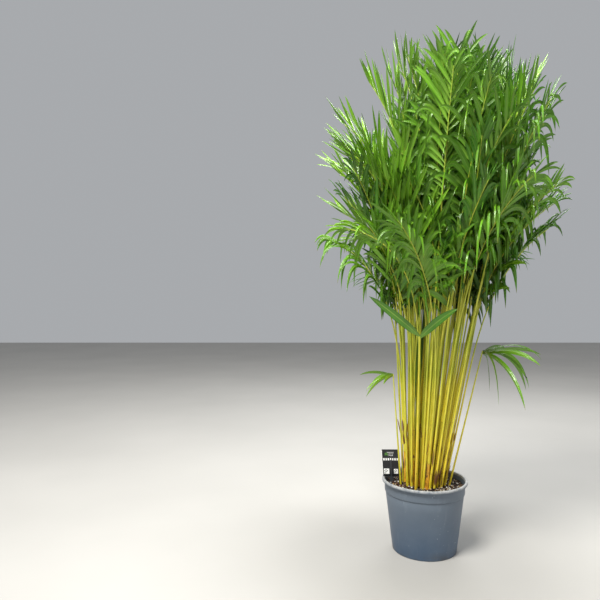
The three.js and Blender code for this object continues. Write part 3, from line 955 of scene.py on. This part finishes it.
class FrondSettings(bpy.types.PropertyGroup):
    suckers: count_field("Young stems", 60, 0, "Young fronds that rise from the soil")
    pairs: count_field("Pairs", 20, 4, "Pairs of leaflets on each frond")
    leaflet_length: length_field("Leaflet length", 0.282, "Length of the longest leaflets")
    leaflet_width: length_field("Leaflet width", 0.0138, "Width of the broadest leaflets")
    stalk_radius: length_field("Stalk", 0.003, "Radius of the stalk where it leaves its sheath")
    tip_radius: length_field("Midrib tip", 0.001, "Radius of the midrib at the frond's tip")
    stalk_gold: colour_field("Stalk gold", "e2c81a", "Colour of the lower stalks")
    deep_green: colour_field("Deep green", "0b3404", "Colour of the darkest leaflets")
    leaf_green: colour_field("Leaf green", "428c0e", "Colour of the lighter leaflets")
    young_green: colour_field("Young green", "90c21e", "Colour of the youngest fronds")


class LabelSettings(bpy.types.PropertyGroup):
    plate_width: length_field("Plate width", 0.050, "Width of the tag's plate")
    plate_height: length_field("Plate height", 0.080, "Height of the tag's plate")


class StageSettings(bpy.types.PropertyGroup):
    camera_place: FloatVectorProperty(
        name="Camera", default=(-0.371, -1.78, 0.77), description="Camera position", subtype="TRANSLATION",
        unit="LENGTH",
    )
    camera_dip: number_field("Dip", math.radians(0.95), "How far it looks down", subtype="ANGLE", unit="ROTATION")
    lens: number_field("Lens", 36.0, "Focal length in millimetres on a 36 mm sensor")
    floor_size: length_field("Floor", 14.0, "Side of the studio floor")


# ---- operators


class PALM_OT_pot(bpy.types.Operator):
    """Make the nursery pot, with its rolled rim, stacking band, raised channel and drain holes"""

    bl_idname = "palm.pot"
    bl_label = "Pot"

    def execute(self, context):
        settings = context.scene.palm_pot
        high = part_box("pot")[1]
        rim, top = high[0], high[2]
        wall, band_top = settings.wall, top - settings.rim_height
        band_foot = band_top - settings.band_height
        band, body, foot = rim - 0.0074, rim - 0.0104, rim - 0.031
        under = 0.0032
        lip = 0.003
        slope = [(mix(foot, body, k / 6), mix(under, band_foot - 0.0035, k / 6)) for k in range(1, 7)]
        roll = [(rim - lip + lip * math.cos(a), top - lip + lip * math.sin(a)) for a in (0.4, 0.8, 1.2, 1.57)]
        profile = [
            # the underside, with its raised channel, and the edge of the foot
            (0, 0), (0.07, 0), (0.0712, 0.0008), (0.0718, 0.004), (0.0842, 0.004), (0.0848, 0.0008), (0.086, 0),
            (foot - 0.003, 0), (foot - 0.0012, 0.0004), (foot - 0.0003, 0.0015), (foot, under),
            *slope,
            # the stacking band
            (body - 0.0004, band_foot - 0.0022), (body + 0.0002, band_foot - 0.0012),
            (band - 0.0016, band_foot - 0.0002), (band - 0.0008, band_foot + 0.0006),
            (band - 0.0005, band_foot + 0.002), (band, band_top - 0.0008),
            # the rolled rim
            (band + 0.0006, band_top), (rim - 0.0022, band_top + 0.0002), (rim - 0.0008, band_top + 0.0008),
            (rim, band_top + 0.0022), (rim, top - 0.0034),
            *roll,
            (band + 0.0022, top), (band + 0.0008, top - 0.0006), (band + 0.0002, top - 0.002),
            # the inner wall and floor
            (band - wall + 0.0006, band_top - 0.001), (band - wall - 0.0002, band_foot + 0.001),
            (body - wall, band_foot - 0.003), (foot - wall, 0.009), (foot - wall - 0.002, 0.0064), (0, 0.006),
        ]
        piece = new_object("nursery_pot", turned_mesh("nursery_pot", profile))
        drills = []
        for hole in range(8):
            drill = bmesh.new()
            bmesh.ops.create_cone(
                drill, cap_ends=True, segments=28, radius1=settings.drain_radius, radius2=settings.drain_radius,
                depth=0.03, matrix=Matrix.Translation(compass((hole + 0.5) * math.pi / 4) * 0.078),
            )
            cutter = new_object("drill", mesh_from(drill, "drill"))
            cut = piece.modifiers.new("drain", "BOOLEAN")
            cut.operation = "DIFFERENCE"
            cut.solver = "EXACT"
            cut.object = cutter
            drills.append(cutter)
        settle([piece])
        for cutter in drills:
            bpy.data.objects.remove(cutter)
        smooth(piece.data, 32)
        piece.data.materials.clear()
        piece.data.materials.append(pot_plastic(settings))
        finish_piece(piece, "pot_plastic", "pot")
        return {"FINISHED"}


def soil_height(x, y):
    """How high the soil lies at a place, before its clods."""
    reach = math.hypot(x, y)
    return 0.1915 + 0.006 * max(0.0, 1 - reach / 0.11)


class PALM_OT_soil(bpy.types.Operator):
    """Make the bed of potting soil, with a rough top"""

    bl_idname = "palm.soil"
    bl_label = "Soil"

    def execute(self, context):
        settings = context.scene.palm_soil
        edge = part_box("potting_soil")[1][0] + 0.0002
        segments, rings = 150, 44
        shape = bmesh.new()
        centre = shape.verts.new((0, 0, soil_height(0, 0)))
        circles = []
        for ring in range(1, rings + 1):
            reach = edge * ring / rings
            circle = []
            for k in range(segments):
                spot = compass(2 * math.pi * (k + 0.5 * (ring % 2)) / segments) * reach
                clod = noise.fractal(spot * 70, 0.7, 2.2, 4) * settings.roughness
                clod += noise.noise(spot * 22) * settings.roughness * 0.8
                circle.append(shape.verts.new((spot.x, spot.y, soil_height(spot.x, spot.y) + clod)))
            circles.append(circle)
        for inset, height in ((0.0012, 0.176), (0.0038, 0.168), (0.0225, 0.012), (0.026, 0.0072)):
            circles.append(ring_of(shape, edge - inset, height, segments))
        base = shape.verts.new((0, 0, 0.0068))
        for k in range(segments):
            after = (k + 1) % segments
            shape.faces.new((centre, circles[0][k], circles[0][after]))
            shape.faces.new((base, circles[-1][after], circles[-1][k]))
            for inner, outer in zip(circles, circles[1:]):
                shape.faces.new((inner[k], outer[k], outer[after], inner[after]))
        bmesh.ops.recalc_face_normals(shape, faces=shape.faces)
        mesh = mesh_from(shape, "soil_bed")
        piece = new_object("soil_bed", mesh)
        smooth(mesh, 60)
        mesh.materials.append(peat())
        finish_piece(piece, "peat_soil", "potting_soil")
        return {"FINISHED"}


class PALM_OT_litter(bpy.types.Operator):
    """Scatter bark, perlite, tan granules and rootlets over the soil"""

    bl_idname = "palm.litter"
    bl_label = "Soil litter"

    def execute(self, context):
        settings = context.scene.palm_soil
        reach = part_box("potting_soil")[1][0] - 0.004
        top = bmesh.new()
        top.from_mesh(bpy.data.objects["soil_bed"].data)
        spare = [f for f in top.faces if f.normal.z < 0.3 or f.calc_center_median().xy.length > reach]
        bmesh.ops.delete(top, geom=spare, context="FACES")
        sheet = mesh_from(top, "soil_top")
        litter, fibres = litter_tree(), fibre_tree()
        # Name, density, size, flatness, slimness, sink, darkest and lightest colour, roughness.
        kinds = (
            ("soil_bark", settings.bark_density, 0.0066, 0.4, 0.55, 0.05, "0e0704", "3b2012", 0.9),
            ("soil_chips", settings.bark_density * 0.22, 0.011, 0.3, 0.5, 0.12, "1d0e07", "6b3c1e", 0.85),
            ("soil_perlite", settings.perlite_density, 0.004, 0.85, 0.85, 0.24, "c9c4b8", "f7f5ee", 0.75),
            ("soil_granules", settings.perlite_density * 0.5, 0.0044, 0.75, 0.8, 0.2, "6e4e2c", "c9a468", 0.7),
        )
        pieces = []
        for seed, (name, density, size, flat, slim, sink, dark, light, rough) in enumerate(kinds):
            piece = new_object(name, sheet.copy())
            skin = crumb(name + "_skin", dark, light, rough)
            litter.grow(
                piece, Density=density, Size=size, Flatness=flat, Slimness=slim, Sink=sink, Seed=seed + 3, Skin=skin
            )
            pieces.append(piece)
        roots = new_object("soil_rootlets", sheet.copy())
        skin = crumb("rootlet_skin", "7a5a3a", "d2b98a", 0.7)
        sizes = {"Length": 0.016, "Thickness": 0.00042, "Rise": 0.0008}
        fibres.grow(roots, Density=settings.root_density, **sizes, Seed=9, Skin=skin)
        pieces.append(roots)
        settle(pieces, ("crumb_shade",), "peat_soil")
        return {"FINISHED"}


class PALM_OT_canes(bpy.types.Operator):
    """Grow the ringed canes"""

    bl_idname = "palm.canes"
    bl_label = "Canes"

    def execute(self, context):
        settings = context.scene.palm_cane
        tree, skin = cane_tree(), cane_skin(settings)
        pieces = []
        for index in range(CANES):
            plan = cane_plan(index)
            path = [cane_axis(plan.foot, mix(-PLANT_DEPTH, plan.height + 0.004, k / 14)) for k in range(15)]
            piece = new_object(f"golden_cane_{index + 1:02d}", line_mesh("cane_axis", path, len(path), {}))
            tree.grow(
                piece,
                Radius=plan.radius,
                Swell=settings.swell * (1.35 if index == FRONT_CANE else 1.0),
                Ring_gap=settings.ring_gap * mix(0.8, 1.25, vary(index, 12)),
                Ring_rise=settings.ring_rise,
                Own=vary(index, 13),
                Skin=skin,
            )
            pieces.append(piece)
        nodes = [f"cane_{index + 1:02d}" for index in range(CANES)]
        settle(pieces, ("cane_ring", "cane_height", "cane_own"), "cane_skin", nodes)
        return {"FINISHED"}


class PALM_OT_fronds(bpy.types.Operator):
    """Grow the feather fronds: four on each cane, and the young ones that rise from the soil"""

    bl_idname = "palm.fronds"
    bl_label = "Fronds"

    def execute(self, context):
        settings = context.scene.palm_frond
        tree = frond_tree(blade_tree())
        leaf, stalk = leaf_skin(settings), stalk_skin(settings)
        plans = []
        for index in range(CANES):
            for rank in range(4):
                plan = frond_plan(cane_plan(index), rank)
                number = f"{plan.index + 1:02d}"
                packed = rank < 2
                line = frond_spine(plan) if packed else fenced(plan, frond_spine)
                node = f"frond_{number}" if packed else None
                plans.append((f"feather_frond_{number}", plan, line, settings.stalk_radius, 0.75, node))
        for index, spot in enumerate(stem_spots(settings.suckers)):
            plan = stem_plan(index, spot)
            radius = settings.stalk_radius * mix(0.95, 1.3, vary(index + 1, 28))
            plans.append((f"young_frond_{index + 1:02d}", plan, fenced(plan, stem_spine), radius, 0.25, None))
        pieces = []
        for number, (name, plan, (points, faces, bare), radius, sheath, _) in enumerate(plans):
            piece = new_object(name, line_mesh("frond_spine", points, len(points), {"upper": faces}))
            tree.grow(
                piece,
                Pairs=settings.pairs,
                Blade_start=blade_start(plan, points, bare),
                Leaflet_length=settings.leaflet_length * plan.size,
                Leaflet_width=settings.leaflet_width * mix(0.85, 1.15, vary(number, 14)),
                Angle_low=math.radians(mix(40, 56, vary(number, 15))),
                Angle_tip=math.radians(24),
                Lift=math.radians(mix(22, 50, vary(number, 16))),
                Droop=mix(0.3, 0.85, plan.edge) * mix(0.5, 1.5, vary(number, 17)),
                Stalk_radius=radius,
                Tip_radius=settings.tip_radius,
                Sheath=sheath,
                Tone=vary(number, 18),
                Seed=number,
                Leaf=leaf,
                Stalk=stalk,
            )
            pieces.append(piece)
        settle(pieces, LEAF_LAYERS, "leaf_green", [node for *_, node in plans])
        return {"FINISHED"}


class PALM_OT_seedlings(bpy.types.Operator):
    """Grow the small seedlings at the clump's edge"""

    bl_idname = "palm.seedlings"
    bl_label = "Seedlings"

    def execute(self, context):
        settings = context.scene.palm_frond
        tree = seedling_tree(blade_tree())
        leaf, stalk = leaf_skin(settings), stalk_skin(settings)
        pieces = []
        for number, (name, plan) in enumerate(SEEDLINGS.items()):
            angle, height, leaflets, spread, tilt, size, width, sag = plan
            outward = compass(math.radians(angle))
            side = UP.cross(outward)
            path = [cane_axis(outward * SEEDLING_CIRCLE, mix(-PLANT_DEPTH, height, k / 12)) for k in range(13)]
            lean = math.radians(tilt + 15)
            middle = outward * math.sin(lean) + UP * math.cos(lean)
            blades = []
            for blade in range(leaflets):
                turn = math.radians(spread * (blade / (leaflets - 1) - 0.5))
                rise = UP * 0.5 * (vary(blade, number + 30) - 0.5) if leaflets > 2 else UP * 0
                heading = (middle * math.cos(turn) + side * math.sin(turn) + rise).normalized()
                flat = outward - heading * outward.dot(heading)
                blades.append({
                    "spot": path[-1] - UP * 0.004 * (blade % 3),
                    "heading": heading,
                    "rib": flat.cross(heading),
                    "upper": UP - outward * 0.5,
                    "blade_length": 0.235 * size * mix(0.8, 1.05, vary(blade, number + 31)),
                    "blade_width": width,
                    "blade_droop": sag * mix(0.5, 1.3, vary(blade, number + 32)),
                })
            piece = new_object(f"young_{name}", blade_points("seedling_line", blades, path))
            tree.grow(piece, Stalk_radius=0.0028, Tone=0.35 + 0.3 * number, Leaf=leaf, Stalk=stalk)
            pieces.append(piece)
        settle(pieces, LEAF_LAYERS, "leaf_green", [f"seedling_{name}" for name in SEEDLINGS])
        return {"FINISHED"}


class PALM_OT_sheaths(bpy.types.Operator):
    """Lay the dry, torn remains of old leaf sheaths against the feet of the canes and young stems"""

    bl_idname = "palm.sheaths"
    bl_label = "Old sheaths"

    def execute(self, context):
        chance = random.Random(11)
        canes = [cane_plan(index) for index in range(CANES)]
        stems = [(cane.foot, cane.radius, 7) for cane in canes]
        stems += [(spot, STEM_RADIUS, 3) for spot in stem_spots(context.scene.palm_frond.suckers)]
        blades = []
        for foot, radius, count in stems:
            for _ in range(count):
                height = 0.15 * chance.random() ** 1.8
                turn = chance.uniform(0, 2 * math.pi)
                axis = (cane_axis(foot, height + 0.05) - cane_axis(foot, height)).normalized()
                swell = mix(1.35, 1.0, min(1.0, height / 0.06))
                blades.append({
                    "spot": cane_axis(foot, height) + compass(turn) * radius * swell * 0.9,
                    "heading": axis + compass(turn) * chance.uniform(0.0, 0.16),
                    "rib": compass(turn + math.pi / 2),
                    "upper": compass(turn),
                    "blade_length": chance.uniform(0.02, 0.075),
                    "blade_width": chance.uniform(0.4, 1.5) * radius,
                    "blade_droop": chance.uniform(-0.1, 0.25),
                })
        piece = new_object("old_sheaths", blade_points("sheath_points", blades))
        blade_tree().grow(piece, Sections=7, Fold=0.35, Thickness=0.0004, Twist=0.8, Leaf=sheath_fibre())
        settle([piece], LEAF_LAYERS, "cane_skin")
        return {"FINISHED"}


class PALM_OT_spears(bpy.types.Operator):
    """Raise the unopened leaves, still folded into spears, from every second cane"""

    bl_idname = "palm.spears"
    bl_label = "Spear leaves"

    def execute(self, context):
        settings = context.scene.palm_frond
        blades = []
        for index in range(0, CANES, 2):
            plan = cane_plan(index)
            top = cane_axis(plan.foot, plan.height - 0.02)
            axis = (top - cane_axis(plan.foot, 0)).normalized()
            aim = compass(plan.angle + 2.2)
            blades.append({
                "spot": top,
                "heading": axis + aim * 0.05,
                "rib": axis.cross(aim),
                "upper": aim,
                "blade_length": mix(0.55, 0.82, vary(index, 33)),
                "blade_width": 0.011,
                "blade_droop": 0.03,
            })
        piece = new_object("spear_leaves", blade_points("spear_points", blades))
        piece.data.attributes.new("leaf_tone", "FLOAT", "POINT").data.foreach_set("value", [0.85] * len(blades))
        blade_tree().grow(piece, Sections=24, Fold=0.9, Thickness=0.0009, Twist=0.3, Leaf=leaf_skin(settings))
        settle([piece], LEAF_LAYERS, "leaf_green")
        return {"FINISHED"}


class PALM_OT_label(bpy.types.Operator):
    """Make the printed tag on its stake"""

    bl_idname = "palm.label"
    bl_label = "Label"

    def execute(self, context):
        settings = context.scene.palm_label
        width, height = settings.plate_width, settings.plate_height
        place = Matrix.Translation((-0.093, 0.012, SOIL_EDGE - 0.046))
        place @= Matrix.Rotation(math.radians(-12), 4, "Z") @ Matrix.Rotation(math.radians(-3), 4, "Y")
        black, white, green, grey = range(4)
        skins = [label_plastic(), tag_ink("tag_white_print", "f6f7f4")]
        skins += [tag_ink("tag_green_print", "5f9a3a"), tag_ink("tag_stake_grey", "33373b")]
        shape = bmesh.new()

        def block(skin, x, z, wide, tall, front=-0.0014, deep=0.0005):
            made = bmesh.ops.create_cube(shape, size=1.0)["verts"]
            bmesh.ops.scale(shape, vec=(wide, deep, tall), verts=made)
            bmesh.ops.translate(shape, vec=(x, front + deep / 2, z), verts=made)
            for face in {f for v in made for f in v.link_faces}:
                face.material_index = skin

        # the plate, the stake and a rib behind the plate
        middle = 0.066 + height / 2
        block(black, 0, middle, width, height, -0.001, 0.001)
        block(grey, 0, 0.041, 0.012, 0.06, -0.0009, 0.0008)
        block(grey, 0, middle - 0.016, 0.0034, height - 0.03, -0.0017, 0.0008)
        # blocks in place of a title, of three small rows and of a leaf sign
        for letter in range(7):
            block(white, -0.0198 + letter * 0.0066, middle + 0.0105, 0.0032 + 0.0012 * vary(letter, 1), 0.0068)
        for row in range(3):
            for letter in range(6 - row):
                x, z = -0.0085 + row * 0.002 + letter * 0.0034, middle + 0.031 - row * 0.0046
                block(white, x, z, 0.0012 + 0.0008 * vary(letter, row + 2), 0.0018)
        for leaf in range(5):
            block(green, -0.016 + leaf * 0.0018, middle + 0.025 + 0.002 * math.sin(leaf * 0.8), 0.0009, 0.008)
        # two white squares with a few dark cells
        low = middle - 0.0255
        for square, wide, tall in ((-0.0135, 0.016, 0.016), (0.0145, 0.012, 0.014)):
            block(white, square, low, wide, tall)
            for cell in range(16):
                if vary(cell, 5 + wide) > 0.68:
                    x, z = square + (cell % 4 - 1.5) * wide * 0.21, low + (cell // 4 - 1.5) * tall * 0.21
                    block(black, x, z, wide * 0.17, tall * 0.17, -0.0018)
        # the pale curled edge on the left
        for step in range(8):
            sweep = 0.0016 * math.sin(step / 7 * math.pi * 0.5)
            x, z = -width / 2 - sweep * 0.4, 0.07 + (step + 0.5) * (height - 0.008) / 8
            block(white, x, z, 0.0018, height / 8 - 0.0009, -0.0012 - sweep, 0.0011)
        shape.transform(place)
        mesh = mesh_from(shape, "plant_tag")
        piece = new_object("plant_tag", mesh)
        for skin in skins:
            mesh.materials.append(skin)
        finish_piece(piece, "label_plastic", "plant_label")
        return {"FINISHED"}


class PALM_OT_stage(bpy.types.Operator):
    """Make the studio: pale floor, soft lights and the camera"""

    bl_idname = "palm.stage"
    bl_label = "Stage"

    def execute(self, context):
        settings = context.scene.palm_stage
        half = settings.floor_size / 2
        mesh = bpy.data.meshes.new("studio_floor")
        mesh.from_pydata([(-half, -half, 0), (half, -half, 0), (half, half, 0), (-half, half, 0)], [], [(0, 1, 2, 3)])
        floor = new_object("studio_floor", mesh)
        mesh.materials.append(plain_studio("studio_floor_paint", "aeaca8", 0.8))
        world = bpy.data.worlds.new("studio_air")
        world.use_nodes = True
        air = world.node_tree.nodes["Background"]
        air.inputs["Color"].default_value = (0.93, 0.96, 1.0, 1.0)
        air.inputs["Strength"].default_value = 0.42
        context.scene.world = world
        # Place, width in metres, power in watts and colour.
        self.lamp("key", (-1.1, -1.4, 3.2), 1.1, 165, (1.0, 0.98, 0.93))
        self.lamp("top", (0.2, 0.2, 3.4), 1.0, 90, (1.0, 1.0, 0.98))
        self.lamp("fill", (2.6, -2.2, 1.3), 2.4, 15, (0.96, 0.98, 1.0))
        self.lamp("back", (0.7, 2.1, 2.8), 2.0, 45, (0.97, 0.99, 1.0))
        data = bpy.data.cameras.new("view")
        data.lens = settings.lens
        data.sensor_width = 36.0
        camera = new_object("view", data)
        camera.location = settings.camera_place
        camera.rotation_euler = (math.pi / 2 - settings.camera_dip, 0, 0)
        context.scene.camera = camera
        context.scene.view_settings.view_transform = "Standard"
        return {"FINISHED"}

    def lamp(self, name, place, size, power, color):
        """Hangs a round soft lamp that faces the plant's middle."""
        data = bpy.data.lights.new(name, "AREA")
        data.shape = "DISK"
        data.size = size
        data.energy = power
        data.color = color
        lamp = new_object(name, data)
        lamp.location = place
        aim = Vector((0.05, 0, 0.75)) - Vector(place)
        lamp.rotation_euler = aim.to_track_quat("-Z", "Y").to_euler()


# ---- panel and registration

STEPS = (
    PALM_OT_pot,
    PALM_OT_soil,
    PALM_OT_litter,
    PALM_OT_canes,
    PALM_OT_fronds,
    PALM_OT_seedlings,
    PALM_OT_sheaths,
    PALM_OT_spears,
    PALM_OT_label,
    PALM_OT_stage,
)
SETTINGS = {
    "palm_pot": PotSettings,
    "palm_soil": SoilSettings,
    "palm_cane": CaneSettings,
    "palm_frond": FrondSettings,
    "palm_label": LabelSettings,
    "palm_stage": StageSettings,
}


class PALM_PT_panel(bpy.types.Panel):
    bl_label = "Potted areca palm"
    bl_idname = "PALM_PT_panel"
    bl_space_type = "VIEW_3D"
    bl_region_type = "UI"
    bl_category = "Palm"

    def draw(self, context):
        for title, group in SETTINGS.items():
            box = self.layout.box()
            box.label(text=title.removeprefix("palm_").capitalize())
            for name in group.__annotations__:
                box.prop(getattr(context.scene, title), name)
        for step in STEPS:
            self.layout.operator(step.bl_idname)


def register():
    for group in SETTINGS.values():
        bpy.utils.register_class(group)
    for title, group in SETTINGS.items():
        setattr(bpy.types.Scene, title, PointerProperty(type=group))
    for step in STEPS:
        bpy.utils.register_class(step)
    bpy.utils.register_class(PALM_PT_panel)


def unregister():
    bpy.utils.unregister_class(PALM_PT_panel)
    for step in reversed(STEPS):
        bpy.utils.unregister_class(step)
    for title, group in SETTINGS.items():
        delattr(bpy.types.Scene, title)
        bpy.utils.unregister_class(group)


def main():
    register()
    bpy.ops.palm.pot()
    bpy.ops.palm.soil()
    bpy.ops.palm.litter()
    bpy.ops.palm.canes()
    bpy.ops.palm.fronds()
    bpy.ops.palm.seedlings()
    bpy.ops.palm.sheaths()
    bpy.ops.palm.spears()
    bpy.ops.palm.label()
    bpy.ops.palm.stage()


if __name__ == "__main__":
    main()
